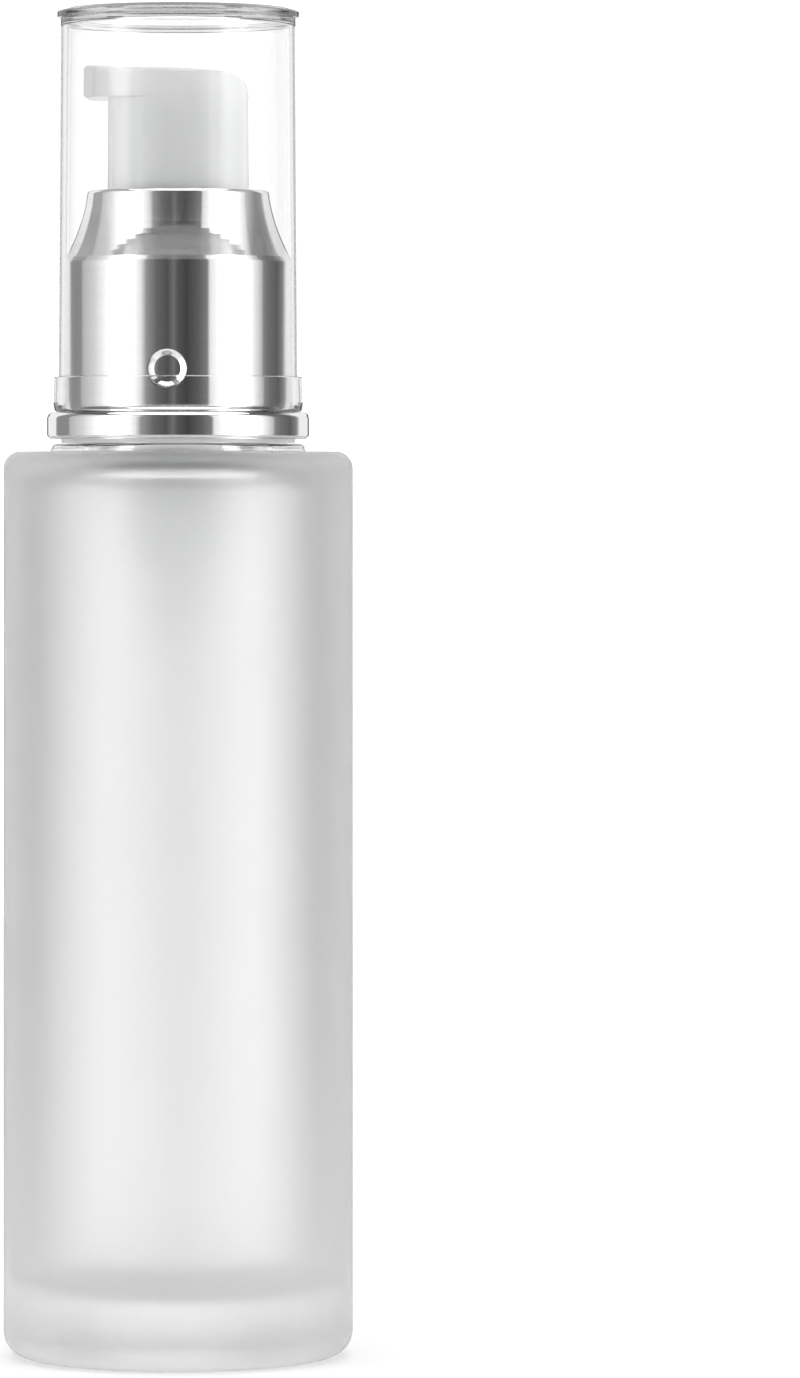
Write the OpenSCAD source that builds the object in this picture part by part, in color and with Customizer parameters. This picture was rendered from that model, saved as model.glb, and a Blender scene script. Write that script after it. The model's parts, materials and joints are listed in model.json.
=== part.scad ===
// Glass foundation bottle with a treatment pump and a clear overcap.
// Frame: +Z up, origin at the centre of the base, nozzle towards -X. Millimetres.

/* [Glass body] */
// Outside diameter of the glass body
body_d = 37; // [36:0.5:40]
// Height from the base to the flat of the shoulder
body_h = 95.8; // [70:0.2:110]
// Thickness of the side wall
wall_t = 3; // [2.6:0.1:3.4]
// Thickness of the base
base_t = 7; // [5:0.5:9]
// Radius of the rounded edge at the foot
foot_r = 2.8; // [1.5:0.1:3]
// Radius of the rounded edge at the shoulder
shoulder_r = 1.8; // [1:0.1:2.5]

/* [Neck] */
// Outside diameter of the screw thread
thread_d = 19.8; // [19.6:0.1:19.9]
// Bore of the neck
bore_d = 13.4; // [13.2:0.1:13.8]
// Height of the neck above the shoulder
neck_h = 14.2; // [14:0.1:14.6]
// Rise of the thread in one turn
thread_pitch = 3.175; // [3:0.025:3.3]
// Turns of thread on the neck and in the closure
thread_turns = 1.25; // [1:0.05:1.3]

/* [Collar and ring] */
// Outside diameter of the straight part of the collar
collar_d = 24.1; // [23.8:0.1:24.2]
// Outside diameter of the collar's top edge
collar_top_d = 19.4; // [19:0.1:19.6]
// Height of the collar
collar_h = 23.4; // [23:0.1:24]
// Outside diameter of the ring under the collar
ring_d = 28; // [27.6:0.1:28.4]
// Height of the ring
ring_h = 2.8; // [2.6:0.1:2.9]
// Thickness of the aluminium
shell_t = 0.4; // [0.3:0.05:0.45]

/* [Pump] */
// Travel of the actuator
stroke = 5; // [3:0.25:5]
// Bore of the pump chamber
chamber_d = 7.8; // [7.6:0.1:8]
// Outside diameter of the stem
stem_d = 4.5; // [4.3:0.1:4.6]
// Outside diameter of the dip tube
tube_d = 3.5; // [3.3:0.1:3.6]
// Diameter of the check ball
ball_d = 3.2; // [3.1:0.1:3.3]

/* [Actuator] */
// Diameter of the actuator's column
column_d = 15; // [14.8:0.1:15.1]
// Distance from the axis to the tip of the nozzle
nozzle_reach = 9.8; // [9:0.1:10.3]
// Height of the nozzle bar
nozzle_h = 3.35; // [3:0.05:3.6]

/* [Overcap] */
// Outside diameter at the closed end
cap_top_d = 25; // [24.8:0.1:25.2]
// Outside diameter of the tube just above the band
cap_tube_d = 25.5; // [25.4:0.1:25.7]
// Largest outside diameter of the band at the mouth
cap_band_d = 26.6; // [26.2:0.1:26.8]
// Height of the overcap
cap_h = 42.8; // [42.5:0.1:44]

/* [Hidden] */
$fn = 64;
eps = 0.01;
run_gap = 0.04;     // radial gap of a running fit
loose_gap = 0.1;    // gap between parts that turn on each other

body_r = body_d / 2;
cavity_r = body_r - wall_t;
bore_r = bore_d / 2;
roof_t = 1.8;                               // glass over the cavity, at the shoulder
bead_r = 13.5;                              // raised land round the neck
bead_h = 0.85;
thread_depth = 0.85;
neck_r = thread_d / 2 - thread_depth;
neck_top = body_h + neck_h;

thread_z = body_h + 6.5;                    // middle of the ridge where the thread starts
closure_thread_drop = 1.09;                 // the closure's ridge bears under the neck's ridge
closure_thread_depth = 0.75;
closure_bore_r = thread_d / 2 + 0.2;

ring_z = body_h + bead_h + 0.5;             // underside of the ring
ring_top = ring_z + ring_h;
collar_z = ring_top + 0.1;
collar_top = collar_z + collar_h;
collar_r = collar_d / 2;
shell_in_r = collar_r - shell_t;            // inside of the collar

gasket_h = 0.95;
flange_z = neck_top + gasket_h;             // underside of the pump's flange
flange_h = 1.2;
plate_z = flange_z + flange_h + loose_gap;  // underside of the closure's top plate
plate_t = 1.5;
plate_hole_r = 6.4;
sleeve_r = 8.1;                             // guide for the actuator, inside the collar
sleeve_t = 0.8;
hem_r = 1;                                  // rounding of the collar's bottom edge
waist_r = collar_r - hem_r - 0.05;          // closure inside the hem and the ring

chaplet_z = plate_z + plate_t + loose_gap;  // underside of the chaplet's flange
chaplet_h = 0.9;
column_z = chaplet_z + chaplet_h + stroke + 0.2;    // bottom edge of the actuator at rest
actuator_h = 16.6;
stem_grip = 6.4;                            // depth of the stem's socket in the actuator
nozzle_top = column_z + actuator_h;
nozzle_z = nozzle_top - nozzle_h;
column_r = column_d / 2;

chamber_r = chamber_d / 2;
chamber_z = neck_top - 25;                  // ledge that the spring stands on
stem_r = stem_d / 2;
stem_bore_r = 1.1;
rod_r = 1.6;
rod_disc_z = chamber_z + 15;                // underside of the valve rod's disc
rod_disc_h = 1.1;
piston_z = rod_disc_z + rod_disc_h + 0.1;
piston_h = 4.2;
stem_z = piston_z + piston_h + 0.1;
ball_r = ball_d / 2;
seat_z = chamber_z - 3.9;                   // small end of the 45 degree ball seat
seat_r = 1;
ball_z = seat_z - seat_r + ball_r * sqrt(2) + 0.03;
tube_top = seat_z - 1.4;                    // end of the dip tube's socket
socket_z = tube_top - 3.7;                  // bottom edge of the dip tube's socket
tube_r = tube_d / 2;
tube_bore_r = tube_r - 0.55;

dimple_z = collar_z + 4.4;                  // pressed into the collar, keying it to the closure
dimple_d = 4.1;
dimple_depth = 0.55;
dimple_ball_r = (dimple_d * dimple_d / 4 + dimple_depth * dimple_depth) / (2 * dimple_depth);
dimple_turn = -94;                          // degrees round the axis from +X

cap_z = ring_top + 0.05;
cap_top = cap_z + cap_h;

// Points on an arc from angle a0 to a1, in degrees.
function arc(centre, r, a0, a1, n = 8) =
    [for (i = [0:n]) let (a = a0 + (a1 - a0) * i / n) [centre[0] + r * cos(a), centre[1] + r * sin(a)]];

// Points on a quadratic curve from p0 to p2 that leaves and arrives along p1.
function bend(p0, p1, p2, n = 8) =
    [for (i = [0:n]) let (t = i / n) (1 - t) * (1 - t) * p0 + 2 * t * (1 - t) * p1 + t * t * p2];

// One closed solid through rings of points that all have the same number of points.
module skin(rings) {
    n = len(rings[0]);
    last = len(rings) - 1;
    sides = [for (i = [0:last - 1], j = [0:n - 1]) let (k = (j + 1) % n)
        each [[i * n + j, i * n + k, (i + 1) * n + k], [i * n + j, (i + 1) * n + k, (i + 1) * n + j]]];
    ends = [[for (j = [n - 1:-1:0]) j], [for (j = [0:n - 1]) last * n + j]];
    polyhedron(points = [for (ring = rings) each ring], faces = concat(sides, ends));
}

// A helical ridge on a wall of radius wall_r. Its crest stands out by depth, or in if depth is negative,
// and fades into the wall at both ends.
module thread_ridge(wall_r, depth, root_w, crest_w, z) {
    steps = 36;
    embed = depth > 0 ? -0.3 : 0.3;
    sign = depth > 0 ? 1 : -1;
    skin([for (i = [0:round(steps * thread_turns)])
        let (turn = i / steps,
             fade = min(1, turn * 12, (thread_turns - turn) * 12),
             crest = wall_r + depth * fade - sign * 0.05 * (1 - fade),
             half = [for (r = [wall_r + embed, crest])
                 (root_w + (crest_w - root_w) * (r - wall_r) / depth) / 2],
             low = [[wall_r + embed, -half[0]], [crest, -half[1]]],
             high = [[crest, half[1]], [wall_r + embed, half[0]]])
        [for (p = depth > 0 ? concat(low, high) : [high[1], high[0], low[1], low[0]])
            [p[0] * cos(360 * turn), p[0] * sin(360 * turn), z + thread_pitch * turn + p[1]]]]);
}

// A sphere that presses the dimple, grown by the thickness of the shell where asked.
module dimple_ball(grow = 0) {
    rotate([0, 0, dimple_turn])
        translate([collar_r - dimple_depth + dimple_ball_r, 0, dimple_z])
            sphere(r = dimple_ball_r + grow);
}

module bottle() {
    punt_r = 12;
    punt_h = 0.8;
    cavity_foot_r = 4.5;
    cavity_head_r = 2.2;
    bead_edge_r = 0.75;
    lip_r = 0.5;
    profile = concat(
        [for (i = [0:5]) [punt_r * i / 5, punt_h * (1 - i * i / 25)]],
        arc([body_r - foot_r, foot_r], foot_r, -90, 0),
        arc([body_r - shoulder_r, body_h - shoulder_r], shoulder_r, 0, 90),
        [[bead_r + 0.1, body_h]],
        arc([bead_r - bead_edge_r, body_h + bead_h - bead_edge_r], bead_edge_r, 0, 90, 4),
        [[neck_r, body_h + bead_h]],
        arc([neck_r - lip_r, neck_top - lip_r], lip_r, 0, 90, 4),
        arc([bore_r + lip_r, neck_top - lip_r], lip_r, 90, 180, 4),
        [[bore_r, body_h - roof_t]],
        arc([cavity_r - cavity_head_r, body_h - roof_t - cavity_head_r], cavity_head_r, 90, 0),
        arc([cavity_r - cavity_foot_r, base_t + cavity_foot_r], cavity_foot_r, 0, -90),
        [[0, base_t]]);
    color("whitesmoke") union() {
        rotate_extrude() polygon(profile);
        thread_ridge(neck_r, thread_depth, 1.9, 0.7, thread_z);
    }
}

module neck_gasket() {
    color("white") translate([0, 0, neck_top]) difference() {
        cylinder(r = neck_r - 0.1, h = gasket_h);
        translate([0, 0, -eps]) cylinder(r = bore_r - 0.3, h = gasket_h + 2 * eps);
    }
}

module pump_housing() {
    throat_r = 5;
    ledge_z = neck_top - 4;                 // where the wide mouth steps down to the chamber
    top = chaplet_z;
    socket_r = tube_r + 1.05;
    cage_r = ball_r + 1.6;
    barrel_r = chamber_r + 0.9;
    mouth_r = throat_r + 1.2;
    flange_r = 8.6;
    outer = [[0, socket_z], [socket_r, socket_z], [socket_r, seat_z - 1.2], [cage_r, seat_z - 0.6],
        [cage_r, chamber_z - 1.2], [barrel_r, chamber_z], [barrel_r, ledge_z - 3], [mouth_r, ledge_z - 1],
        [mouth_r, flange_z], [flange_r, flange_z], [flange_r, flange_z + flange_h],
        [mouth_r, flange_z + flange_h], [mouth_r, top], [0, top]];
    inner = [[0, seat_z - 0.8], [seat_r, seat_z - 0.8], [seat_r, seat_z], [seat_r + 1, seat_z + 1],
        [2, chamber_z - 0.5], [ball_r - 0.15, chamber_z - 0.3], [ball_r - 0.15, chamber_z],
        [chamber_r, chamber_z], [chamber_r, ledge_z], [throat_r, ledge_z], [throat_r, top + eps],
        [0, top + eps]];
    color("ghostwhite") difference() {
        rotate_extrude() polygon(outer);
        rotate_extrude() polygon(inner);
        translate([0, 0, socket_z - eps]) cylinder(r = tube_r, h = tube_top - socket_z + eps);
        translate([0, 0, socket_z]) cylinder(r = seat_r, h = seat_z - socket_z);
    }
}

module check_ball() {
    color("silver") translate([0, 0, ball_z]) sphere(r = ball_r);
}

// A compression spring with a closed coil at each end.
module spring() {
    wire_r = 0.3;
    coil_r = 2.75;
    turns = 8;
    steps = 18;
    bottom = chamber_z + wire_r + 0.02;
    travel = rod_disc_z - chamber_z - 2 * wire_r - 0.04;
    rise = travel - 2 * 2.2 * wire_r;
    function height(t) = t < 1 ? 2.2 * wire_r * t
        : t > turns - 1 ? travel - 2.2 * wire_r * (turns - t)
        : 2.2 * wire_r + rise * (t - 1) / (turns - 2);
    color("silver") skin([for (i = [0:turns * steps]) let (t = i / steps)
        [for (j = [0:5]) let (r = coil_r + wire_r * cos(60 * j))
            [r * cos(360 * t), r * sin(360 * t), bottom + height(t) + wire_r * sin(60 * j)]]]);
}

// The rod that opens and closes the piston's valve. Its plug snaps into the stem.
module valve_rod() {
    color("white") difference() {
        rotate_extrude() polygon([[0, rod_disc_z - 5], [0.9, rod_disc_z - 5], [1.3, rod_disc_z - 4],
            [1.3, rod_disc_z], [3.1, rod_disc_z], [3.1, rod_disc_z + 0.6], [2.6, rod_disc_z + rod_disc_h],
            [rod_r, rod_disc_z + rod_disc_h], [rod_r, stem_z], [stem_bore_r, stem_z],
            [stem_bore_r, stem_z + 3.5], [0, stem_z + 3.5]]);
        translate([0, 0, piston_z + 2]) cylinder(r = 0.65, h = stem_z + 4 - piston_z);
        translate([-rod_r - 1, 0, piston_z + 2.4]) rotate([0, 90, 0]) cylinder(r = 0.45, h = 2 * rod_r + 2);
    }
}

module piston() {
    seal_r = chamber_r - run_gap;
    hub_r = rod_r + 0.9;
    color("white") rotate_extrude() polygon([[rod_r + run_gap, piston_z], [hub_r, piston_z],
        [hub_r, piston_z + 1.2], [seal_r - 0.4, piston_z + 0.3], [seal_r, piston_z + 0.3],
        [seal_r, piston_z + 1], [seal_r - 0.35, piston_z + 1.6], [seal_r - 0.35, piston_z + 2.9],
        [seal_r, piston_z + 3.4], [seal_r, piston_z + piston_h], [seal_r - 0.4, piston_z + piston_h],
        [hub_r, piston_z + 3.2], [hub_r, piston_z + piston_h], [rod_r + run_gap, piston_z + piston_h]]);
}

module stem_seal() {
    color("dimgray") translate([0, 0, neck_top - 4 + 0.02]) difference() {
        cylinder(r = 4.95, h = 1);
        translate([0, 0, -eps]) cylinder(r = stem_r + run_gap, h = 1 + 2 * eps);
    }
}

// The turret that snaps into the housing. It guides the stem and holds the closure on.
module chaplet() {
    plug_z = neck_top - 4 + 1.05;
    color("white") difference() {
        union() {
            translate([0, 0, plug_z]) cylinder(r = 4.97, h = chaplet_z - plug_z + eps);
            translate([0, 0, chaplet_z]) cylinder(r1 = 7.2, r2 = 6.9, h = chaplet_h);
        }
        translate([0, 0, plug_z - eps]) cylinder(r = stem_r + run_gap, h = 12);
        translate([0, 0, plug_z - eps]) cylinder(r = 3.9, h = chaplet_z - plug_z - 1);
    }
}

module stem() {
    top = column_z + stem_grip;
    color("white") difference() {
        translate([0, 0, stem_z]) cylinder(r = stem_r, h = top - stem_z);
        translate([0, 0, stem_z - eps]) cylinder(r = stem_bore_r, h = top - stem_z + 2 * eps);
    }
}

// Plan of the nozzle bar: its sides are tangent to the column and its tip has rounded corners.
module nozzle_plan() {
    tip_half = 4.6;
    corner_r = 1.4;
    taper = atan((column_r - tip_half) / (nozzle_reach - 1));
    tangent = column_r * [-sin(taper), cos(taper)];
    corner = [-nozzle_reach + corner_r, tip_half - corner_r];
    tip = arc(corner, corner_r, 90 + taper, 180, 5);
    polygon(concat([tangent], tip, [for (i = [len(tip) - 1:-1:0]) [tip[i][0], -tip[i][1]]],
        [[tangent[0], -tangent[1]]]));
    circle(r = column_r);
}

// Side view of the actuator. The finger pad falls away from the nozzle and rounds over at the back.
module actuator_side() {
    back_r = 2.1;
    pad_fall = 0.65;
    polygon(concat(
        [[-column_r - 0.05, column_z], [-column_r - 0.05, nozzle_z], [-nozzle_reach, nozzle_z]],
        arc([-nozzle_reach + 0.5, nozzle_top - 0.5], 0.5, 180, 90, 4),
        arc([column_r - back_r - 0.02, nozzle_top - pad_fall - back_r], back_r, 88, 2, 6),
        [[column_r + 0.05, column_z]]));
}

module actuator() {
    skirt_wall = 1;
    socket_r = 3.5;
    roof = nozzle_z - 1.4;
    channel_z = nozzle_z + nozzle_h / 2;
    color("white") difference() {
        intersection() {
            union() {
                translate([0, 0, column_z])
                    cylinder(r1 = column_r + 0.05, r2 = column_r - 0.05, h = nozzle_z - column_z + eps);
                translate([0, 0, nozzle_z]) linear_extrude(nozzle_h + 1) nozzle_plan();
            }
            translate([0, 10, 0]) rotate([90, 0, 0]) linear_extrude(20) actuator_side();
        }
        difference() {
            translate([0, 0, column_z - eps]) cylinder(r = column_r - skirt_wall, h = roof - column_z);
            translate([0, 0, column_z - 1]) cylinder(r = socket_r, h = roof - column_z + 2);
        }
        translate([0, 0, column_z - 1]) cylinder(r = stem_r, h = 1 + stem_grip);
        translate([0, 0, column_z]) cylinder(r = stem_bore_r, h = channel_z - column_z);
        translate([-nozzle_reach - 1, 0, channel_z]) rotate([0, 90, 0]) {
            cylinder(r = 0.9, h = nozzle_reach + 1);
            cylinder(r = 1.2, h = 1.8);
        }
    }
}

// The lower end is cut on a slant so that it never seals against the floor of the bottle.
module dip_tube() {
    bottom = base_t + 1.2;
    top = tube_top - eps;
    color("white") difference() {
        translate([0, 0, bottom]) cylinder(r = tube_r, h = top - bottom);
        translate([0, 0, bottom - 1]) cylinder(r = tube_bore_r, h = top - bottom + 2);
        translate([0, 0, bottom]) rotate([0, 30, 0]) translate([-5, -5, -10]) cube([10, 10, 10]);
    }
}

module closure() {
    lip_z = body_h + bead_h + 0.08;         // lowest edge, just clear of the land
    lip_r = 12.4;
    flange_low = ring_z + 0.15;
    flange_r = ring_d / 2 - shell_t - 0.15;
    flange_top = ring_top - shell_t - 0.1;
    skirt_r = shell_in_r - 0.05;
    skirt_z = collar_z + hem_r + 0.1;
    skirt_top = plate_z + plate_t;
    sleeve_top = collar_top - shell_t - 0.05;
    mouth = 0.4;
    color("white") union() {
        difference() {
            rotate_extrude() polygon([[closure_bore_r + mouth, lip_z], [lip_r, lip_z], [lip_r, flange_low],
                [flange_r - 0.2, flange_low], [flange_r, flange_low + 0.2], [flange_r, flange_top - 0.8],
                [flange_r - 0.8, flange_top], [waist_r, flange_top], [waist_r, skirt_z],
                [skirt_r, skirt_z + 0.3], [skirt_r, skirt_top], [sleeve_r + sleeve_t, skirt_top],
                [sleeve_r + sleeve_t, sleeve_top], [sleeve_r, sleeve_top], [sleeve_r, skirt_top],
                [plate_hole_r, skirt_top], [plate_hole_r, plate_z], [closure_bore_r, plate_z],
                [closure_bore_r, lip_z + mouth]]);
            dimple_ball(shell_t + 0.05);
        }
        thread_ridge(closure_bore_r, -closure_thread_depth, 1.5, 0.5, thread_z - closure_thread_drop);
    }
}

// An aluminium cup, upside down over the closure's flange.
module base_ring() {
    edge_r = 0.9;
    r = ring_d / 2;
    hole_r = waist_r + 0.02;
    color("silver") rotate_extrude() polygon(concat(
        [[r - shell_t, ring_z], [r - 0.1, ring_z], [r, ring_z + 0.1]],
        arc([r - edge_r, ring_top - edge_r], edge_r, 0, 90),
        [[hole_r, ring_top], [hole_r, ring_top - shell_t]],
        arc([r - edge_r, ring_top - edge_r], edge_r - shell_t, 90, 0)));
}

module collar_shell() {
    lip_r = 0.6;
    top_r = collar_top_d / 2;
    flare = [[top_r, collar_top - lip_r], [top_r + 0.45, collar_top - 3.55],
        [collar_r - 0.2, collar_top - 7]];
    knee_r = 1.7;
    knee = [collar_r - knee_r, flare[2][1] - knee_r * sin(28)];
    inset = [shell_t, 0];
    hole_r = sleeve_r;
    outer = concat(
        [[hole_r, collar_top]],
        arc([top_r - lip_r, collar_top - lip_r], lip_r, 90, 0, 5),
        bend(flare[0], flare[1], flare[2]),
        arc(knee, knee_r, 28, 0, 4),
        arc([collar_r - hem_r, collar_z + hem_r], hem_r, 0, -90, 5));
    inner = concat(
        [[collar_r - hem_r, collar_z + shell_t]],
        arc([collar_r - hem_r, collar_z + hem_r], hem_r - shell_t, -90, 0, 3),
        [knee + [knee_r - shell_t, 0], flare[2] - inset * 1.1],
        bend(flare[2] - inset * 1.1, flare[1] - inset * 1.05, flare[0] - inset),
        [[top_r - shell_t, collar_top - shell_t], [hole_r, collar_top - shell_t]]);
    color("silver") difference() {
        union() {
            rotate_extrude() polygon(concat(outer, inner));
            intersection() {
                dimple_ball(shell_t);
                translate([0, 0, dimple_z - 4]) difference() {
                    cylinder(r = collar_r - shell_t / 2, h = 8);
                    translate([0, 0, -1]) cylinder(r = collar_r - dimple_depth - shell_t - 0.2, h = 10);
                }
            }
        }
        dimple_ball();
    }
}

module overcap() {
    band_top = cap_z + 3.7;
    band_r = cap_band_d / 2;
    tube_top_r = cap_top_d / 2;
    lip_z = cap_top - 1.05;
    lip_r = tube_top_r + 0.38;
    mouth_r = collar_r + 0.13;
    ceiling_z = cap_top - 1.5;
    ceiling_edge_r = 0.5;
    outer = concat(
        [[mouth_r + 0.15, cap_z], [band_r - 0.35, cap_z], [band_r - 0.05, cap_z + 0.35],
         [band_r, cap_z + 1.4], [band_r - 0.2, band_top - 0.15], [band_r - 0.35, band_top],
         [cap_tube_d / 2, band_top + 0.05], [tube_top_r, lip_z]],
        arc([lip_r - 0.25, lip_z + 0.25], 0.25, -60, 0, 3),
        arc([lip_r - 0.6, cap_top - 0.75], 0.6, 0, 60, 4),
        [[lip_r - 1.5, cap_top - 0.04], [0, cap_top]]);
    inner = concat(
        [[0, ceiling_z]],
        arc([tube_top_r - 0.65 - ceiling_edge_r, ceiling_z - ceiling_edge_r], ceiling_edge_r, 90, 0, 4),
        [[mouth_r, band_top], [mouth_r, cap_z + 0.2]]);
    color("lightblue", 0.3) rotate_extrude() polygon(concat(outer, inner));
}

bottle();
neck_gasket();
pump_housing();
check_ball();
spring();
valve_rod();
piston();
stem_seal();
chaplet();
stem();
actuator();
dip_tube();
closure();
base_ring();
collar_shell();
overcap();
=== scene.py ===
"""Looks, stage and camera for a frosted foundation bottle with a treatment pump and a clear overcap."""
import json
import math

import bpy
from mathutils import Matrix, Vector


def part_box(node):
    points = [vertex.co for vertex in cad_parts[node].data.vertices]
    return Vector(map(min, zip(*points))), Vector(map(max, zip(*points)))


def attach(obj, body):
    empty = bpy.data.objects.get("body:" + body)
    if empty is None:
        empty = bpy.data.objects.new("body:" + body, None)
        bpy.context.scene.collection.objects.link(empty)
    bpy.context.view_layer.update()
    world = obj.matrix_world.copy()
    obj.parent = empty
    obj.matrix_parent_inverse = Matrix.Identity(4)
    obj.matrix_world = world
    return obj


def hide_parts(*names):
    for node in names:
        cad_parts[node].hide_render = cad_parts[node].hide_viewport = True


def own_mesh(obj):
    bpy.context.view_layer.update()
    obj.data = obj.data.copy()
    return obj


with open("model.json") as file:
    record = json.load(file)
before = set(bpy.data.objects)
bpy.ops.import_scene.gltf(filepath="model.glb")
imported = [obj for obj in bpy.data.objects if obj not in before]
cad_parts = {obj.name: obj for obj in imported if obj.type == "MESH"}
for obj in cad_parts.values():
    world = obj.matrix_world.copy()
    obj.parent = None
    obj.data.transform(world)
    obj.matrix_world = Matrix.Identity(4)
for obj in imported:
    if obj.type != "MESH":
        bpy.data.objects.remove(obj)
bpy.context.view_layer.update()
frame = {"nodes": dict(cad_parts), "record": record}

MM = 0.001          # outlines are in millimetres, as in the CAD model
SEGMENTS = 160      # columns round a turned piece
SUPPORT = 0.03      # distance from the end of a straight run to the ring that keeps its shading flat


# ---------------------------------------------------------------- outlines

def corner_arc(before, here, after, fillet, steps):
    """Points of a fillet at the corner here, between the points before and after."""
    back = (before - here).normalized()
    ahead = (after - here).normalized()
    half = back.angle(ahead) / 2
    centre = here + (back + ahead).normalized() * fillet / math.sin(half)
    start = here + back * fillet / math.tan(half) - centre
    end = here + ahead * fillet / math.tan(half) - centre
    sweep = math.atan2(start.x * end.y - start.y * end.x, start.dot(end))
    return [centre + Matrix.Rotation(sweep * i / steps, 2) @ start for i in range(steps + 1)]


def rounded(corners, closed=False, steps=8):
    """An outline through (radius, height, fillet) corners. A fillet of 0 keeps the point as it is."""
    spots = [Vector(c[:2]) for c in corners]
    points = []
    for i, (r, z, fillet) in enumerate(corners):
        if fillet == 0 or (not closed and i in (0, len(corners) - 1)):
            points.append(spots[i])
        else:
            points += corner_arc(spots[i - 1], spots[i], spots[(i + 1) % len(spots)], fillet, steps)
    return points


def bend(p0, p1, p2, steps=12):
    """Corners along a quadratic curve that leaves p0 and reaches p2 along p1."""
    p0, p1, p2 = Vector(p0), Vector(p1), Vector(p2)
    curve = []
    for i in range(steps + 1):
        t = i / steps
        p = p0 * (1 - t) ** 2 + p1 * 2 * t * (1 - t) + p2 * t ** 2
        curve.append((p.x, p.y, 0))
    return curve


def supported(points, closed=False, spacing=None):
    """The same outline with extra points near the ends of straight runs, and every spacing mm if asked."""
    made = []
    count = len(points)
    for i in range(count if closed else count - 1):
        a, b = points[i], points[(i + 1) % count]
        run = (b - a).length
        made.append(a)
        if run < 4 * SUPPORT:
            continue
        inner = [SUPPORT / run, 1 - SUPPORT / run]
        if spacing:
            parts = max(1, round(run / spacing))
            inner = [inner[0]] + [k / parts for k in range(1, parts)] + [inner[1]]
        made += [a.lerp(b, t) for t in inner]
    if not closed:
        made.append(points[-1])
    return made


# ---------------------------------------------------------------- meshes

def even_angles(count=SEGMENTS):
    return [math.tau * i / count for i in range(count)]


def new_object(name, verts, faces, materials):
    mesh = bpy.data.meshes.new(name)
    mesh.from_pydata(verts, [], faces)
    mesh.validate()
    mesh.update()
    for polygon in mesh.polygons:
        polygon.use_smooth = True
    for m in materials:
        mesh.materials.append(m)
    made = bpy.data.objects.new(name, mesh)
    bpy.context.scene.collection.objects.link(made)
    return made


def lathe(name, outline, materials, closed=False, shape=None, angles=None, inner_from=None):
    """Turns an outline, drawn with the solid on its left, about the Z axis.
    shape(r, z, angle) may move a point. Faces from outline point inner_from on take the second material."""
    angles = angles or even_angles()
    columns = len(angles)
    verts, rings = [], []
    for r, z in outline:
        if r < 1e-6:
            rings.append([len(verts)] * columns)
            verts.append((0, 0, z * MM))
            continue
        rings.append(list(range(len(verts), len(verts) + columns)))
        for a in angles:
            moved_r, moved_z = shape(r, z, a) if shape else (r, z)
            verts.append((moved_r * math.cos(a) * MM, moved_r * math.sin(a) * MM, moved_z * MM))
    faces, inner = [], []
    for i in range(len(rings) if closed else len(rings) - 1):
        low, high = rings[i], rings[(i + 1) % len(rings)]
        for j in range(columns):
            k = (j + 1) % columns
            corners = [low[j], low[k], high[k], high[j]]
            faces.append(list(dict.fromkeys(corners)))
            inner.append(inner_from is not None and i >= inner_from)
    made = new_object(name, verts, faces, materials)
    if inner_from is not None:
        for polygon, is_inner in zip(made.data.polygons, inner):
            polygon.material_index = int(is_inner)
    return made


def cut(piece, tool):
    """Takes tool away from piece and deletes it."""
    modifier = piece.modifiers.new("cut", "BOOLEAN")
    modifier.operation = "DIFFERENCE"
    modifier.solver = "EXACT"
    modifier.object = tool
    bpy.context.view_layer.update()
    mesh = bpy.data.meshes.new_from_object(piece.evaluated_get(bpy.context.evaluated_depsgraph_get()))
    piece.modifiers.clear()
    piece.data = mesh
    bpy.data.objects.remove(tool)
    return piece


def place(piece, body, slot, *nodes):
    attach(piece, body)
    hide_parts(*nodes)
    return piece


def size_of(node):
    """Outer radius, bottom and top of a turned CAD node, in millimetres."""
    low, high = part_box(node)
    return high.x / MM, low.z / MM, high.z / MM


# ---------------------------------------------------------------- materials

NOISE_LOW, NOISE_HIGH = 0.3, 0.7        # noise rarely leaves this range


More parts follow.
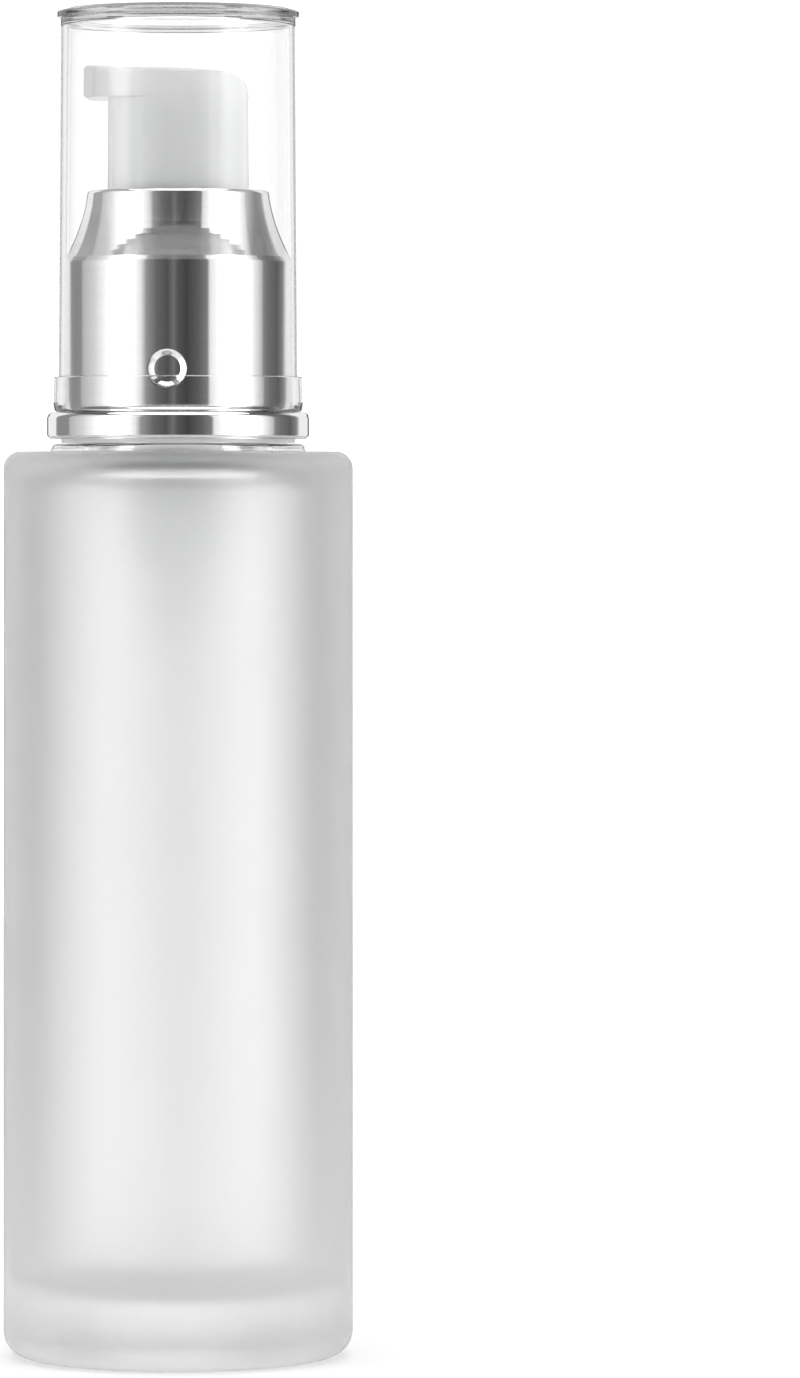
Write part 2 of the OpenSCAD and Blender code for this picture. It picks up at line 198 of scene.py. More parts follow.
class Shader:
    """A material with a Principled shader and short ways to add nodes to it."""

    def __init__(self, name, **values):
        self.material = bpy.data.materials.new(name)
        self.material.use_nodes = True
        self.tree = self.material.node_tree
        self.principled = self.tree.nodes["Principled BSDF"]
        for key, value in values.items():
            self.principled.inputs[key.replace("_", " ")].default_value = value
        self.coordinates = self.add("ShaderNodeTexCoord").outputs["Object"]

    def add(self, kind, **settings):
        node = self.tree.nodes.new(kind)
        for key, value in settings.items():
            setattr(node, key, value)
        return node

    def link(self, output, target):
        self.tree.links.new(output, target)

    def stretched(self, x, y, z):
        """Object coordinates scaled along each axis, so that noise comes out as streaks."""
        mapping = self.add("ShaderNodeMapping")
        mapping.inputs["Scale"].default_value = (x, y, z)
        self.link(self.coordinates, mapping.inputs["Vector"])
        return mapping.outputs["Vector"]

    def noise(self, grain_mm, detail=3, roughness=0.55, vector=None):
        texture = self.add("ShaderNodeTexNoise")
        texture.inputs["Scale"].default_value = 1 / (grain_mm * MM)
        texture.inputs["Detail"].default_value = detail
        texture.inputs["Roughness"].default_value = roughness
        self.link(vector or self.coordinates, texture.inputs["Vector"])
        return texture.outputs["Fac"]

    def between(self, value, low, high):
        """A value that runs from low to high as noise runs over its usual range."""
        ranged = self.add("ShaderNodeMapRange")
        ranged.inputs["From Min"].default_value = NOISE_LOW
        ranged.inputs["From Max"].default_value = NOISE_HIGH
        ranged.inputs["To Min"].default_value = low
        ranged.inputs["To Max"].default_value = high
        self.link(value, ranged.inputs["Value"])
        return ranged.outputs["Result"]

    def tint(self, value, low, high):
        """A colour between low and high."""
        ramp = self.add("ShaderNodeValToRGB")
        ramp.color_ramp.elements[0].position = NOISE_LOW
        ramp.color_ramp.elements[0].color = (*low, 1)
        ramp.color_ramp.elements[1].position = NOISE_HIGH
        ramp.color_ramp.elements[1].color = (*high, 1)
        self.link(value, ramp.inputs["Fac"])
        return ramp.outputs["Color"]

    def set(self, socket, output):
        self.link(output, self.principled.inputs[socket])

    def bump(self, height, depth_mm, strength=1.0, under=None):
        node = self.add("ShaderNodeBump")
        node.inputs["Strength"].default_value = strength
        node.inputs["Distance"].default_value = depth_mm * MM
        self.link(height, node.inputs["Height"])
        if under:
            self.link(under, node.inputs["Normal"])
        self.set("Normal", node.outputs["Normal"])
        return node.outputs["Normal"]


def frosted_glass():
    """Acid-etched glass: a fine even grain with faint clouds where the etch bit deeper."""
    s = Shader("frosted_glass", Transmission_Weight=1.0, IOR=1.5)
    clouds = s.noise(9, detail=4)
    s.set("Roughness", s.between(clouds, 0.5, 0.56))
    s.set("Base Color", s.tint(clouds, (0.87, 0.87, 0.87), (0.91, 0.91, 0.91)))
    s.bump(s.noise(0.12, detail=5, roughness=0.7), 0.004, 0.6)
    return s.material


def smooth_glass():
    """The inside of the bottle, as it left the mould: faint ripples and a film of dust."""
    s = Shader("smooth_glass", Transmission_Weight=1.0, IOR=1.5)
    s.set("Roughness", s.between(s.noise(3), 0.03, 0.07))
    s.set("Base Color", s.tint(s.noise(12), (0.975, 0.98, 0.98), (0.99, 0.995, 0.995)))
    s.bump(s.noise(7, detail=2, vector=s.stretched(1, 1, 0.3)), 0.05, 0.4)
    return s.material


def clear_plastic():
    """Polished styrene: fine scratches, slightly uneven gloss, and 2% less light for each mm of depth."""
    s = Shader("clear_plastic", Transmission_Weight=1.0, IOR=1.49)
    s.set("Roughness", s.between(s.noise(5, detail=4), 0.0, 0.03))
    s.set("Base Color", s.tint(s.noise(20), (0.985, 0.99, 0.99), (1.0, 1.0, 1.0)))
    s.bump(s.noise(0.4, detail=3, vector=s.stretched(1, 1, 0.08)), 0.0006, 0.2)
    depth = s.add("ShaderNodeVolumeAbsorption")
    depth.inputs["Color"].default_value = (0.98, 0.98, 0.98, 1)
    depth.inputs["Density"].default_value = 1 / MM
    s.link(depth.outputs["Volume"], s.tree.nodes["Material Output"].inputs["Volume"])
    return s.material


def silver_aluminium():
    """Bright anodised aluminium: spun lines round the axis and slightly uneven gloss."""
    s = Shader("silver_aluminium", Metallic=1.0)
    lines = s.noise(0.25, detail=4, vector=s.stretched(0.04, 0.04, 1))
    s.set("Roughness", s.between(s.noise(2.5, detail=5), 0.01, 0.03))
    s.set("Base Color", s.tint(lines, (0.86, 0.862, 0.868), (0.9, 0.902, 0.906)))
    s.bump(lines, 0.0002, 0.2)
    return s.material


def plastic(name, low, high, gloss, grain_mm, depth_mm, translucency=0.0, clarity=0.0, ior=1.48):
    """Moulded plastic: gloss and colour vary slowly, with a fine grain from the mould."""
    s = Shader(name, Subsurface_Weight=translucency, Subsurface_Scale=4 * MM, IOR=ior,
               Transmission_Weight=clarity)
    s.principled.inputs["Subsurface Radius"].default_value = (1.0, 0.95, 0.9)
    clouds = s.noise(4, detail=4)
    s.set("Base Color", s.tint(clouds, low, high))
    s.set("Roughness", s.between(clouds, gloss, gloss + 0.08))
    s.bump(s.noise(grain_mm, detail=4), depth_mm, 0.5)
    return s.material


def spring_steel():
    """Drawn wire: fine lines and dull patches."""
    s = Shader("spring_steel", Metallic=1.0)
    s.set("Roughness", s.between(s.noise(0.5, detail=4), 0.2, 0.35))
    s.set("Base Color", s.tint(s.noise(1.5), (0.52, 0.52, 0.53), (0.68, 0.68, 0.69)))
    s.bump(s.noise(0.08, detail=3), 0.003, 0.5)
    return s.material


def ball_steel():
    """Ground and polished bearing steel."""
    s = Shader("ball_steel", Metallic=1.0)
    s.set("Roughness", s.between(s.noise(0.6, detail=4), 0.04, 0.1))
    s.set("Base Color", s.tint(s.noise(1), (0.66, 0.665, 0.67), (0.74, 0.745, 0.75)))
    return s.material


def soft_washer(name, low, high, pore_mm):
    """Rubber or foam: matt, with small pores."""
    s = Shader(name)
    pores = s.noise(pore_mm, detail=5, roughness=0.7)
    s.set("Base Color", s.tint(pores, low, high))
    s.set("Roughness", s.between(pores, 0.7, 0.9))
    s.bump(pores, 0.04, 0.6)
    return s.material


GLASS_OUTSIDE = frosted_glass()
GLASS_INSIDE = smooth_glass()
SLOTS = {
    "frosted_glass": GLASS_OUTSIDE,
    "silver_aluminium": silver_aluminium(),
    "clear_plastic": clear_plastic(),
    "white_plastic": plastic("white_plastic", (0.91, 0.91, 0.91), (0.94, 0.94, 0.94), 0.16, 0.3, 0.001, 0.3),
    "natural_plastic": plastic("natural_plastic", (0.95, 0.95, 0.95), (0.98, 0.98, 0.98), 0.3, 0.2, 0.002,
                               0.2),
    "tube_plastic": plastic("tube_plastic", (0.96, 0.96, 0.96), (0.99, 0.99, 0.99), 0.1, 0.4, 0.001,
                            clarity=1.0, ior=1.25),
    "spring_steel": spring_steel(),
    "ball_steel": ball_steel(),
    "seal_rubber": soft_washer("seal_rubber", (0.02, 0.02, 0.021), (0.045, 0.045, 0.047), 0.15),
    "gasket_foam": soft_washer("gasket_foam", (0.78, 0.78, 0.77), (0.88, 0.88, 0.87), 0.25),
}


# ---------------------------------------------------------------- glass bottle

THREAD_PITCH = 3.175
THREAD_TURNS = 1.25
THREAD_DEPTH = 0.85
THREAD_RUN_OUT = 0.08       # turns over which the thread fades in and out


def neck_thread(first_z):
    """Moves points of the neck's wall out to a rounded screw thread that starts at height first_z."""
    def shape(r, z, angle):
        most = 0
        for turn in range(math.ceil(THREAD_TURNS)):
            along = turn + angle / math.tau
            fade = min(1, along / THREAD_RUN_OUT, (THREAD_TURNS - along) / THREAD_RUN_OUT)
            if fade > 0:
                off = abs(z - first_z - THREAD_PITCH * along)
                flank = min(1, max(0, (0.95 - off) / 0.6))
                most = max(most, fade * flank * flank * (3 - 2 * flank))
        return r + THREAD_DEPTH * most, z
    return shape


def make_bottle():
    body_r, _, neck_top = size_of("bottle")
    shoulder_z = neck_top - 14.2
    land_z = shoulder_z + 0.85
    neck_r, bore_r, wall_t, base_t, roof_t = 9.05, 6.7, 3.0, 7.0, 1.8
    cavity_r = body_r - wall_t
    first_z = shoulder_z + 6.5
    punt = [(12 * i / 8, 0.8 * (1 - (i / 8) ** 2), 0) for i in range(8)]
    etched = supported(rounded(punt + [
        (12, 0, 0.5), (body_r, 0, 2.8), (body_r, shoulder_z, 1.8), (13.9, shoulder_z, 0)], steps=12))
    bead = supported(rounded([
        (13.9, shoulder_z, 0), (13.6, shoulder_z, 0.1), (13.5, land_z, 0.75), (neck_r, land_z, 0.3),
        (neck_r, first_z - 1.2, 0)], steps=12))
    neck = supported([Vector((neck_r, first_z - 1.2)), Vector((neck_r, first_z + 5.4))], spacing=0.16)
    inside = supported(rounded([
        (neck_r, first_z + 5.4, 0), (neck_r, neck_top, 0.5), (bore_r, neck_top, 0.5),
        (bore_r, shoulder_z - roof_t, 0.8), (cavity_r, shoulder_z - roof_t, 2.2), (cavity_r, base_t, 4.5),
        (0, base_t, 0)], steps=12))
    thread = neck_thread(first_z)
    on_neck = (first_z - 1.1, first_z + 5.3)

    def shape(r, z, angle):
        if abs(r - neck_r) < 0.01 and on_neck[0] < z < on_neck[1]:
            return thread(r, z, angle)
        return r, z

    outline = etched[:-1] + bead[:-1] + neck[:-1] + inside
    glass = lathe("glass_bottle", outline, [GLASS_OUTSIDE, GLASS_INSIDE], shape=shape,
                  inner_from=len(etched) - 1)
    place(glass, "glass", "frosted_glass", "bottle")


# ---------------------------------------------------------------- silver collar and ring

SHELL_T = 0.4
DIMPLE_TURN = math.radians(-94)
DIMPLE_R = 2.05         # outer edge of the dimple's wall
DIMPLE_FLOOR_R = 1.25   # inner edge of the dimple's wall
DIMPLE_DEPTH = 0.5
DIMPLE_DISH = 0.05      # further depth at the middle of the floor
DIMPLE_EASE = 0.1       # share of the wall's slope that eases in and out
DIMPLE_STEP = 0.06      # spacing of the mesh there


def dimple(wall_r, centre_z):
    """Presses a round dimple, with a steep wall and a dished floor, into a wall of radius wall_r."""
    def shape(r, z, angle):
        off = math.hypot(wall_r * math.remainder(angle - DIMPLE_TURN, math.tau), z - centre_z)
        if off > DIMPLE_R or r < wall_r - 2 * SHELL_T:
            return r, z
        t = min(1, (DIMPLE_R - off) / (DIMPLE_R - DIMPLE_FLOOR_R))
        dish = DIMPLE_DISH * max(0, 1 - (off / DIMPLE_FLOOR_R) ** 2)
        return r - DIMPLE_DEPTH * t * (1 - DIMPLE_EASE + DIMPLE_EASE * t * (3 - 2 * t)) - dish, z
    return shape


def collar_outline(wall_r, foot_z, top_z, dimple_z, band):
    """The collar's section: its hem, the belt that the dimple is pressed in, its flare and its inside."""
    top_r, hole_r, lip_r, hem_r = 9.7, 8.1, 0.6, 1.0
    in_r = wall_r - SHELL_T
    flare_z, knee_z = top_z - 7.1, top_z - 7.6
    flare = bend((wall_r - 0.16, flare_z), (top_r + 0.42, top_z - 3.6), (top_r, top_z - lip_r - 0.05))
    lining = bend((top_r - SHELL_T, top_z - lip_r), (top_r + 0.02, top_z - 3.7), (wall_r - 0.62, flare_z))
    hem = rounded([
        (in_r, foot_z + 0.3, 0), (wall_r - hem_r + 0.02, foot_z, 0.12), (wall_r, foot_z, hem_r - 0.05),
        (wall_r, dimple_z - band, 0)], steps=8)
    belt = [Vector((wall_r, dimple_z - band)), Vector((wall_r, dimple_z + band))]
    above = rounded(
        [(wall_r, dimple_z + band, 0), (wall_r, knee_z, 0.9)] + flare
        + [(top_r, top_z, lip_r - 0.06), (hole_r, top_z, 0.1), (hole_r, top_z - SHELL_T, 0.1)] + lining
        + [(in_r, knee_z, 0.5), (in_r, foot_z + 0.35, 0)], steps=8)
    return supported(hem)[:-1] + supported(belt, spacing=DIMPLE_STEP)[:-1] + supported(above)


def collar_angles(wall_r, band):
    """Columns round the collar: even, and closer together within band of the dimple's middle."""
    half = band / wall_r
    count = math.ceil(band / DIMPLE_STEP)
    fine = [DIMPLE_TURN + half * i / count for i in range(-count, count + 1)]
    coarse = [a for a in even_angles() if abs(math.remainder(a - DIMPLE_TURN, math.tau)) > half + 0.01]
    return sorted(a % math.tau for a in fine + coarse)


def make_collar():
    wall_r, foot_z, top_z = size_of("collar_shell")
    dimple_z = foot_z + 4.4
    band = 1.05 * DIMPLE_R
    shell = lathe("silver_collar", collar_outline(wall_r, foot_z, top_z, dimple_z, band),
                  [SLOTS["silver_aluminium"]], closed=True, shape=dimple(wall_r, dimple_z),
                  angles=collar_angles(wall_r, band))
    place(shell, "collar", "silver_aluminium", "collar_shell")


def make_ring():
    r, foot_z, top_z = size_of("base_ring")
    hole_r = 11.45
    under_z = top_z - SHELL_T
    outline = supported(rounded([
        (r - SHELL_T, foot_z, 0.1), (r, foot_z, 0.45), (r, top_z, 0.65), (hole_r, top_z, 0.08),
        (hole_r, under_z, 0.08), (r - SHELL_T, under_z, 0.4)], closed=True, steps=10), closed=True)
    ring = lathe("silver_ring", outline, [SLOTS["silver_aluminium"]], closed=True)
    place(ring, "collar", "silver_aluminium", "base_ring")


# ---------------------------------------------------------------- overcap

def make_overcap():
    band_r, foot_z, top_z = size_of("overcap")
    tube_top_r, tube_r, mouth_r = 12.5, 12.75, 12.18
    band_top = foot_z + 3.7
    lip_r, lip_z = tube_top_r + 0.38, top_z - 1.05
    ceiling_z = top_z - 1.5
    outline = supported(rounded([
        (mouth_r + 0.12, foot_z, 0.15), (band_r - 0.15, foot_z, 0.35), (band_r, foot_z + 1, 0.5),
        (band_r - 0.1, band_top, 0.15), (tube_r, band_top, 0.08), (tube_top_r, lip_z, 0.08),
        (lip_r, lip_z, 0.15), (lip_r, top_z - 0.4, 0.3), (11.4, top_z, 0.5), (0, top_z, 0),
        (0, ceiling_z, 0), (tube_top_r - 0.62, ceiling_z, 0.45), (mouth_r, band_top, 0.5)],
        closed=True, steps=8), closed=True)
    cap = lathe("clear_overcap", outline, [SLOTS["clear_plastic"]], closed=True)
    place(cap, "cap", "clear_plastic", "overcap")


# ---------------------------------------------------------------- actuator

COLUMN_R = 7.5
TIP_HALF = 4.6          # half-width of the nozzle's flat end
TIP_CORNER_R = 1.4
EDGE_R = 0.45           # fillet round the finger pad
UNDER_R = 0.25          # fillets under the nozzle
OUTLET_R = 0.9
HEAD_COLUMNS = 240
FILLET_STEPS = 6
PAD_STEPS = 14


def plan_reach(reach, angle):
    """Distance from the axis to the edge of the head's plan: a round column, a tapered nozzle towards -X."""
    a = abs(math.remainder(angle - math.pi, math.tau))
    ray = Vector((math.cos(a), math.sin(a)))
    taper = math.atan((COLUMN_R - TIP_HALF) / (reach - 1))
    normal = Vector((math.sin(taper), math.cos(taper)))
    centre = Vector((reach - TIP_CORNER_R, TIP_HALF - TIP_CORNER_R))
    side = COLUMN_R / max(1e-6, ray.dot(normal)) if a < math.pi / 2 else math.inf
    flat = reach / ray.x if ray.x > 0 else math.inf
    along = ray.dot(centre)
    miss = TIP_CORNER_R ** 2 - (centre.length_squared - along ** 2)
    edge = min(side, flat)
    spot = ray * edge
    if miss > 0 and spot.x > centre.x and spot.y > centre.y:
        edge = along + math.sqrt(miss)
    return max(COLUMN_R, edge) if a < math.pi / 2 - taper else COLUMN_R


def pad_height(x, top_z):
    """Height of the finger pad, which falls away from the nozzle and is rounded at the back."""
    back_r, fall = 2.1, 0.65
    front_x, back_x = -9.5, COLUMN_R - back_r - 0.02
    slope = fall / (back_x - front_x)
    level = top_z - slope * (x - front_x)
    if x > back_x:
        level -= back_r - math.sqrt(max(0, back_r ** 2 - (x - back_x) ** 2))
    return min(level, top_z)


def head_inside(foot_z, nozzle_z, channel_z):
    """The inside of the head and the foot of its column: channel, stem socket, hollow and skirt."""
    socket_top, roof_z = foot_z + 6.4, nozzle_z - 1.4
    return supported(rounded([
        (0, channel_z, 0), (1.1, channel_z, 0.1), (1.1, socket_top, 0.1), (2.25, socket_top, 0.1),
        (2.25, foot_z, 0.2), (3.5, foot_z, 0.2), (3.5, roof_z, 0.3), (6.5, roof_z, 0.5), (6.5, foot_z, 0.2),
        (COLUMN_R + 0.05, foot_z, 0.3), (COLUMN_R + 0.03, foot_z + 2, 0)], steps=5))


def head_section(angle, reach, nozzle_z, top_z):
    """(radius, height) up the outside of the head at an angle: wall, nozzle, the pad's edge and the pad."""
    quarter = [math.pi / 2 * i / FILLET_STEPS for i in range(FILLET_STEPS + 1)]
    wall_r, out = COLUMN_R - 0.05, plan_reach(reach, angle)
    under = min(UNDER_R, max(0.004, out - COLUMN_R) / 2)

    def pad_z(r):
        return pad_height(r * math.cos(angle), top_z)

    line = [(wall_r, nozzle_z - UNDER_R)]
    line += [(wall_r + under * (1 - math.cos(q)), nozzle_z - under * (1 - math.sin(q))) for q in quarter]
    line += [(out - under + under * math.sin(q), nozzle_z + under * (1 - math.cos(q))) for q in quarter]
    line.append((out, max(pad_z(out - 0.001) - EDGE_R - 0.03, nozzle_z + UNDER_R + 0.05)))
    for q in reversed(quarter):
        r = out - EDGE_R + EDGE_R * math.sin(q)
        line.append((r, pad_z(r) - EDGE_R * (1 - math.cos(q))))
    for i in range(1, PAD_STEPS):
        r = (out - EDGE_R) * (1 - i / PAD_STEPS)
        line.append((r, pad_z(r)))
    return line


def skin(sections, angles, last_z):
    """Vertices and faces through a section at each angle, closed on the axis at height last_z."""
    columns = len(angles)
    verts, rings = [], []
    for row, (first_r, first_z) in enumerate(sections[0]):
        if first_r < 1e-6:
            rings.append([len(verts)] * columns)
            verts.append((0, 0, first_z * MM))
            continue
        rings.append(list(range(len(verts), len(verts) + columns)))
        for a, section in zip(angles, sections):
            r, z = section[row]
            verts.append((r * math.cos(a) * MM, r * math.sin(a) * MM, z * MM))
    rings.append([len(verts)] * columns)
    verts.append((0, 0, last_z * MM))
    faces = []
    for low, high in zip(rings, rings[1:]):
        for j in range(columns):
            k = (j + 1) % columns
            faces.append(list(dict.fromkeys([low[j], low[k], high[k], high[j]])))
    return verts, faces


def outlet_tool(reach, channel_z):
    """What the nozzle's bore takes away: a hole from the channel to a stepped mouth at the tip."""
    mouth_r = OUTLET_R + 0.3
    tool = lathe("outlet_tool", rounded([
        (0, 0, 0), (OUTLET_R, 0, 0), (OUTLET_R, reach - 0.8, 0), (mouth_r, reach - 0.8, 0),
        (mouth_r, reach - 0.15, 0), (mouth_r + 0.15, reach + 0.01, 0), (mouth_r + 0.15, reach + 1, 0),
        (0, reach + 1, 0)]), [SLOTS["white_plastic"]], angles=even_angles(48))
    towards_nozzle = Matrix.Rotation(-math.pi / 2, 4, "Y")
    tool.data.transform(Matrix.Translation((0, 0, channel_z * MM)) @ towards_nozzle)
    return tool


def make_actuator():
    low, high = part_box("actuator")
    foot_z, top_z, reach = low.z / MM, high.z / MM, -low.x / MM
    nozzle_z = top_z - 3.35
    channel_z = nozzle_z + 1.68
    inside = [(p.x, p.y) for p in head_inside(foot_z, nozzle_z, channel_z)]
    angles = even_angles(HEAD_COLUMNS)
    sections = [inside + head_section(a, reach, nozzle_z, top_z) for a in angles]
    verts, faces = skin(sections, angles, pad_height(0, top_z))
    head = new_object("white_actuator", verts, faces, [SLOTS["white_plastic"]])
    cut(head, outlet_tool(reach, channel_z))
    place(head, "head", "white_plastic", "actuator")


# ---------------------------------------------------------------- spring

def make_spring():
    low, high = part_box("spring")
    wire_r, turns, steps, sides = 0.3, 8, 40, 12
    coil_r = high.x / MM - wire_r
    bottom = low.z / MM + wire_r
    travel = (high.z - low.z) / MM - 2 * wire_r
    closed_rise = 2.2 * wire_r
    verts, faces = [], []
    total = turns * steps
    for i in range(total + 1):
        t = i / steps
        open_rise = (travel - 2 * closed_rise) * (t - 1) / (turns - 2)
        rise = closed_rise * t if t < 1 else closed_rise + open_rise
        if t > turns - 1:
            rise = travel - closed_rise * (turns - t)
        tip = min(1, 6 * min(i + 1, total - i + 1) / steps)
        for j in range(sides):
            b = math.tau * j / sides
            r = coil_r + wire_r * tip * math.cos(b)
            z = bottom + rise + wire_r * tip * math.sin(b)
            verts.append((r * math.cos(math.tau * t) * MM, r * math.sin(math.tau * t) * MM, z * MM))
    for i in range(total):
        for j in range(sides):
            k = (j + 1) % sides
            faces.append([i * sides + j, i * sides + k, (i + 1) * sides + k, (i + 1) * sides + j])
    faces += [[j for j in reversed(range(sides))], [total * sides + j for j in range(sides)]]
    wire = new_object("return_spring", verts, faces, [SLOTS["spring_steel"]])
    place(wire, "pump", "spring_steel", "spring")
    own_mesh(wire)


# ---------------------------------------------------------------- CAD nodes that stay

def finish_cad_nodes():
    for part in frame["record"]["subparts"]:
        node = frame["nodes"][part["node"]]
        node.data.materials.clear()
        node.data.materials.append(SLOTS[part["material_slot"]])


# ---------------------------------------------------------------- stage

TENT_R = 1.5
TENT_ROWS = [-0.1, 0.27, 0.29, 0.37, 0.39, 0.9, 1.3, 1.36, 1.46, 2.4]      # heights in the tent's wall
ROOF_R = 1.8
ROOF_LEVEL = 2.6
BACKDROP_LEVEL = 1.25
BACKDROP_EDGE = 17              # half-width of the white backdrop, in degrees
BACKDROP_TOP = 0.28
FLAG_WIDTH = 7                  # dark flags round the backdrop draw the edges of clear plastic
FLAG_TOP = 0.38
FLAG_LEVEL = 0.15
BACK_LEVEL = 0.95               # past the flags, to the back third of the tent
BACK_FADE = (0.9, 1.3)          # heights between which the back fades out
SOFTBOX_FADE = (1.36, 1.46)     # heights between which the front lights fade out
DIM_LEVEL, DIM_SHARE = 0.1, 0.1     # above the fades: this level, and this share of the front's below it
PLAIN_LEVELS = (1.05, 2.4)      # least and most of the front half, but for what shiny faces mirror
NEAR_R = 0.15                   # shiny faces mirror the floor as it is up to here
FLOOR_R = 0.85                  # the paper the camera sees; past it the white goes on
FLOOR_SHADE, FLOOR_GLOW = 0.52, 0.45
# Light round the front of the tent: degrees from the camera's side, towards -X, and the level there.
TENT_LEVELS = [
    (-136, 0.68), (-131, 0.6), (-127, 0.25), (-116, 0.12), (-102, 0.18), (-95, 0.25), (-92, 0.58),
    (-80, 1.1), (-70, 4.0), (-50, 4.0), (-41, 1.2), (-33, 0.9), (-30.5, 0.24), (-22, 0.13), (-10, 0.06),
    (-1, 0.1), (3, 0.18), (9, 0.09), (20, 0.15), (31, 0.34), (36, 0.9), (44, 1.3), (52, 3.4), (62, 3.4),
    (73, 1.2), (90, 0.74), (107, 0.52), (110, 0.28), (129, 0.28), (133, 0.6)]


def blend(value, low, high):
    """0 at low, 1 at high and straight between them."""
    return min(1, max(0, (value - low) / (high - low)))


def front_level(degrees):
    for (a0, l0), (a1, l1) in zip(TENT_LEVELS, TENT_LEVELS[1:]):
        if a0 <= degrees <= a1:
            return l0 + (l1 - l0) * (degrees - a0) / (a1 - a0)
    return BACK_LEVEL


def wall_level(degrees, z, mirrored):
    """Light from the tent's wall at an angle from the camera's side and a height. Only shiny faces find the
    darkest and the brightest of its front."""
    off_back = 180 - abs(degrees)
    if off_back > 180 - TENT_LEVELS[-1][0]:
        level = front_level(degrees)
        if not mirrored and abs(degrees) < 90:
            level = min(max(level, PLAIN_LEVELS[0]), PLAIN_LEVELS[1])
        return level + (DIM_LEVEL + DIM_SHARE * level - level) * blend(z, *SOFTBOX_FADE)
    if off_back < BACKDROP_EDGE and z < BACKDROP_TOP:
        return BACKDROP_LEVEL
    if off_back < BACKDROP_EDGE + FLAG_WIDTH and z < FLAG_TOP:
        return FLAG_LEVEL
    return BACK_LEVEL + (DIM_LEVEL - BACK_LEVEL) * blend(z, *BACK_FADE)


def stage_material(name):
    made = bpy.data.materials.new(name)
    made.use_nodes = True
    return made


def glow(name):
    """A plain light, and the socket for its level."""
    made = stage_material(name)
    tree = made.node_tree
    tree.nodes.clear()
    light = tree.nodes.new("ShaderNodeEmission")
    output = tree.nodes.new("ShaderNodeOutputMaterial")
    tree.links.new(light.outputs["Emission"], output.inputs["Surface"])
    return made, light.inputs["Strength"]


def mesh_level(tree, kind):
    """The levels of one kind that make_rings wrote in the mesh."""
    attribute = tree.nodes.new("ShaderNodeAttribute")
    attribute.attribute_name = kind
    return attribute.outputs["Fac"]


def times_mirrored(tree):
    """How often the light's path has come off a shiny face. A mix takes more than 1 as 1."""
    return tree.nodes.new("ShaderNodeLightPath").outputs["Glossy Depth"]


def tent_glow():
    """The wall's light: its mirrored levels for rays that came off a shiny face, else its plain ones."""
    made, level = glow("tent_glow")
    tree = made.node_tree
    mix = tree.nodes.new("ShaderNodeMix")
    tree.links.new(times_mirrored(tree), mix.inputs["Factor"])
    tree.links.new(mesh_level(tree, "plain"), mix.inputs["A"])
    tree.links.new(mesh_level(tree, "mirrored"), mix.inputs["B"])
    tree.links.new(mix.outputs["Result"], level)
    return made


def roof_glow():
    made, level = glow("roof_glow")
    level.default_value = ROOF_LEVEL
    return made


def floor_paper():
    made = stage_material("floor_paper")
    inputs = made.node_tree.nodes["Principled BSDF"].inputs
    inputs["Base Color"].default_value = (FLOOR_SHADE, FLOOR_SHADE, FLOOR_SHADE, 1)
    inputs["Roughness"].default_value = 0.9
    inputs["Emission Color"].default_value = (1, 1, 1, 1)
    inputs["Emission Strength"].default_value = FLOOR_GLOW
    return made


def far_paper():
    """The same paper, but shiny faces mirror the levels in its mesh, which are those at the wall's foot."""
    made = floor_paper()
    tree = made.node_tree
    mix = tree.nodes.new("ShaderNodeMixShader")
    light = tree.nodes.new("ShaderNodeEmission")
    tree.links.new(mesh_level(tree, "mirrored"), light.inputs["Strength"])
    tree.links.new(times_mirrored(tree), mix.inputs["Fac"])
    tree.links.new(tree.nodes["Principled BSDF"].outputs["BSDF"], mix.inputs[1])
    tree.links.new(light.outputs["Emission"], mix.inputs[2])
    tree.links.new(mix.outputs["Shader"], tree.nodes["Material Output"].inputs["Surface"])
    return made


def make_disc(name, r, z, material):
    rim = [(r * math.cos(a), r * math.sin(a), z) for a in even_angles()]
    disc = new_object(name, rim, [list(range(len(rim)))], [material])
    return disc


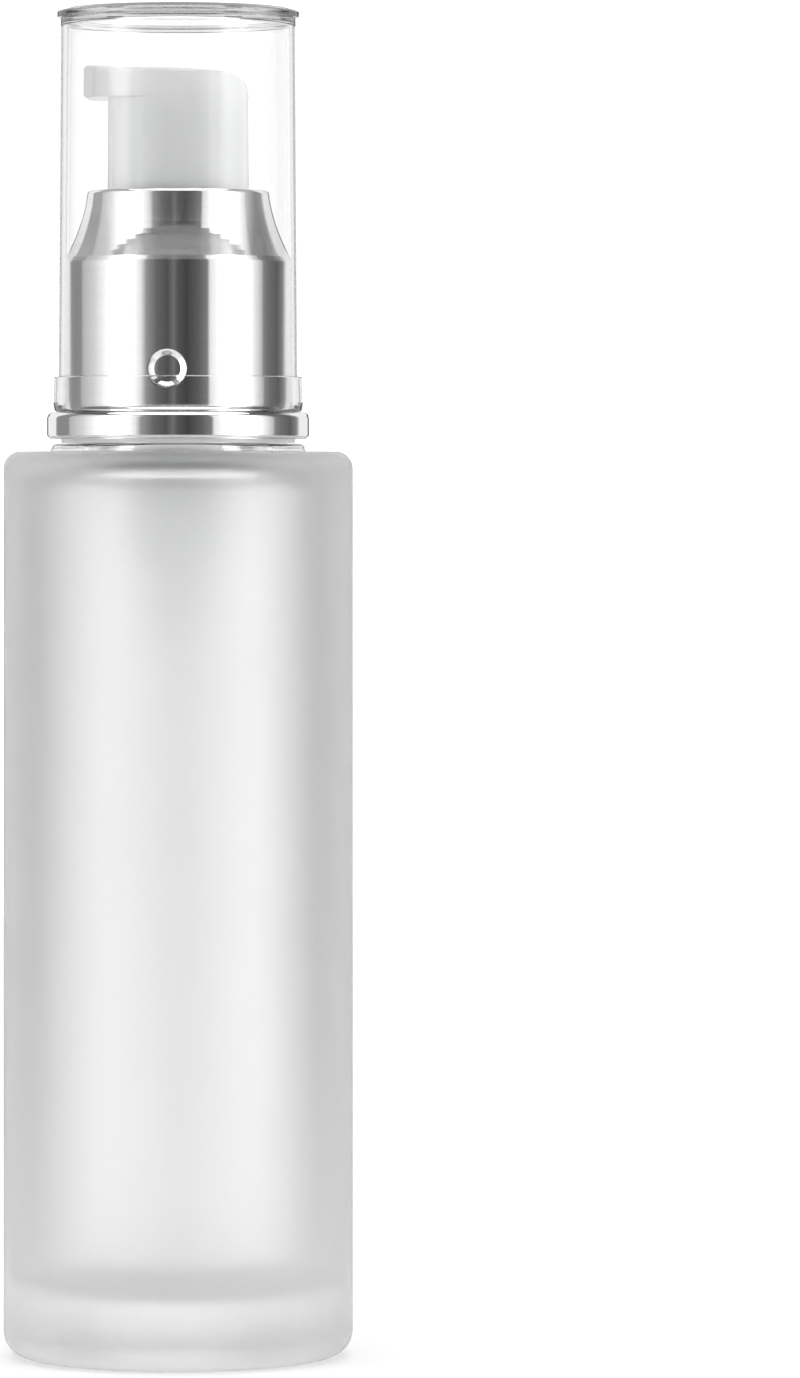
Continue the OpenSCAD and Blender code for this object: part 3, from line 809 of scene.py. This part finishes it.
def make_rings(name, rows, material):
    """Part of the stage as rings of (radius, height), with the light at each whole degree in its points."""
    columns, count = 360, len(rows)
    verts, faces, spots = [], [], []
    for degrees in range(-180, 180):
        a = math.radians(degrees)
        for r, z in rows:
            verts.append((-r * math.sin(a), -r * math.cos(a), z))
            spots.append((degrees, r, z))
    for i in range(columns):
        for row in range(count - 1):
            here, there = count * i + row, count * ((i + 1) % columns) + row
            faces.append([here, there, there + 1, here + 1])
    rings = new_object(name, verts, faces, [material])
    for kind in ("plain", "mirrored"):
        levels = rings.data.attributes.new(kind, "FLOAT", "POINT")
        for i, (degrees, r, z) in enumerate(spots):
            levels.data[i].value = wall_level(degrees, z, kind == "mirrored") if r > NEAR_R else 1
    return rings


def make_tent():
    """The floor, and a round wall of light and a roof that the camera sees straight through."""
    make_disc("floor", NEAR_R, 0, floor_paper())
    paper = far_paper()
    make_rings("floor_round_it", [(NEAR_R, 0), (2 * NEAR_R, 0), (FLOOR_R, 0)], paper)
    unseen = [
        make_rings("far_floor", [(FLOOR_R, 0), (TENT_R, 0)], paper),
        make_disc("roof", ROOF_R, TENT_ROWS[-1], roof_glow()),
        make_rings("tent", [(TENT_R, z) for z in TENT_ROWS], tent_glow())]
    for piece in unseen:
        piece.visible_camera = False


def make_camera():
    """Level camera, in front of the bottle and a little to its right, framed by shift alone."""
    aside, distance, height = 23.5, 842, 92.8
    view_height = 146.1         # of the frame, at the bottle's axis
    sensor, rise = 36, -0.1517
    camera = bpy.data.cameras.new("camera")
    camera.sensor_width = sensor
    camera.lens = sensor * distance / view_height
    camera.shift_y = rise
    camera.clip_start = 0.01
    holder = bpy.data.objects.new("camera", camera)
    holder.location = (aside * MM, -distance * MM, height * MM)
    holder.rotation_euler = (math.pi / 2, 0, 0)
    bpy.context.scene.collection.objects.link(holder)
    bpy.context.scene.camera = holder


def set_scene():
    scene = bpy.context.scene
    scene.view_settings.view_transform = "Standard"
    world = bpy.data.worlds.new("world")
    world.use_nodes = True
    world.node_tree.nodes["Background"].inputs["Color"].default_value = (1, 1, 1, 1)
    world.node_tree.nodes["Background"].inputs["Strength"].default_value = BACKDROP_LEVEL
    scene.world = world
    scene.cycles.max_bounces = 24
    scene.cycles.transmission_bounces = 24
    scene.cycles.glossy_bounces = 8
    scene.cycles.diffuse_bounces = 4


make_camera()
set_scene()
make_tent()
finish_cad_nodes()
make_bottle()
make_collar()
make_ring()
make_overcap()
make_actuator()
make_spring()
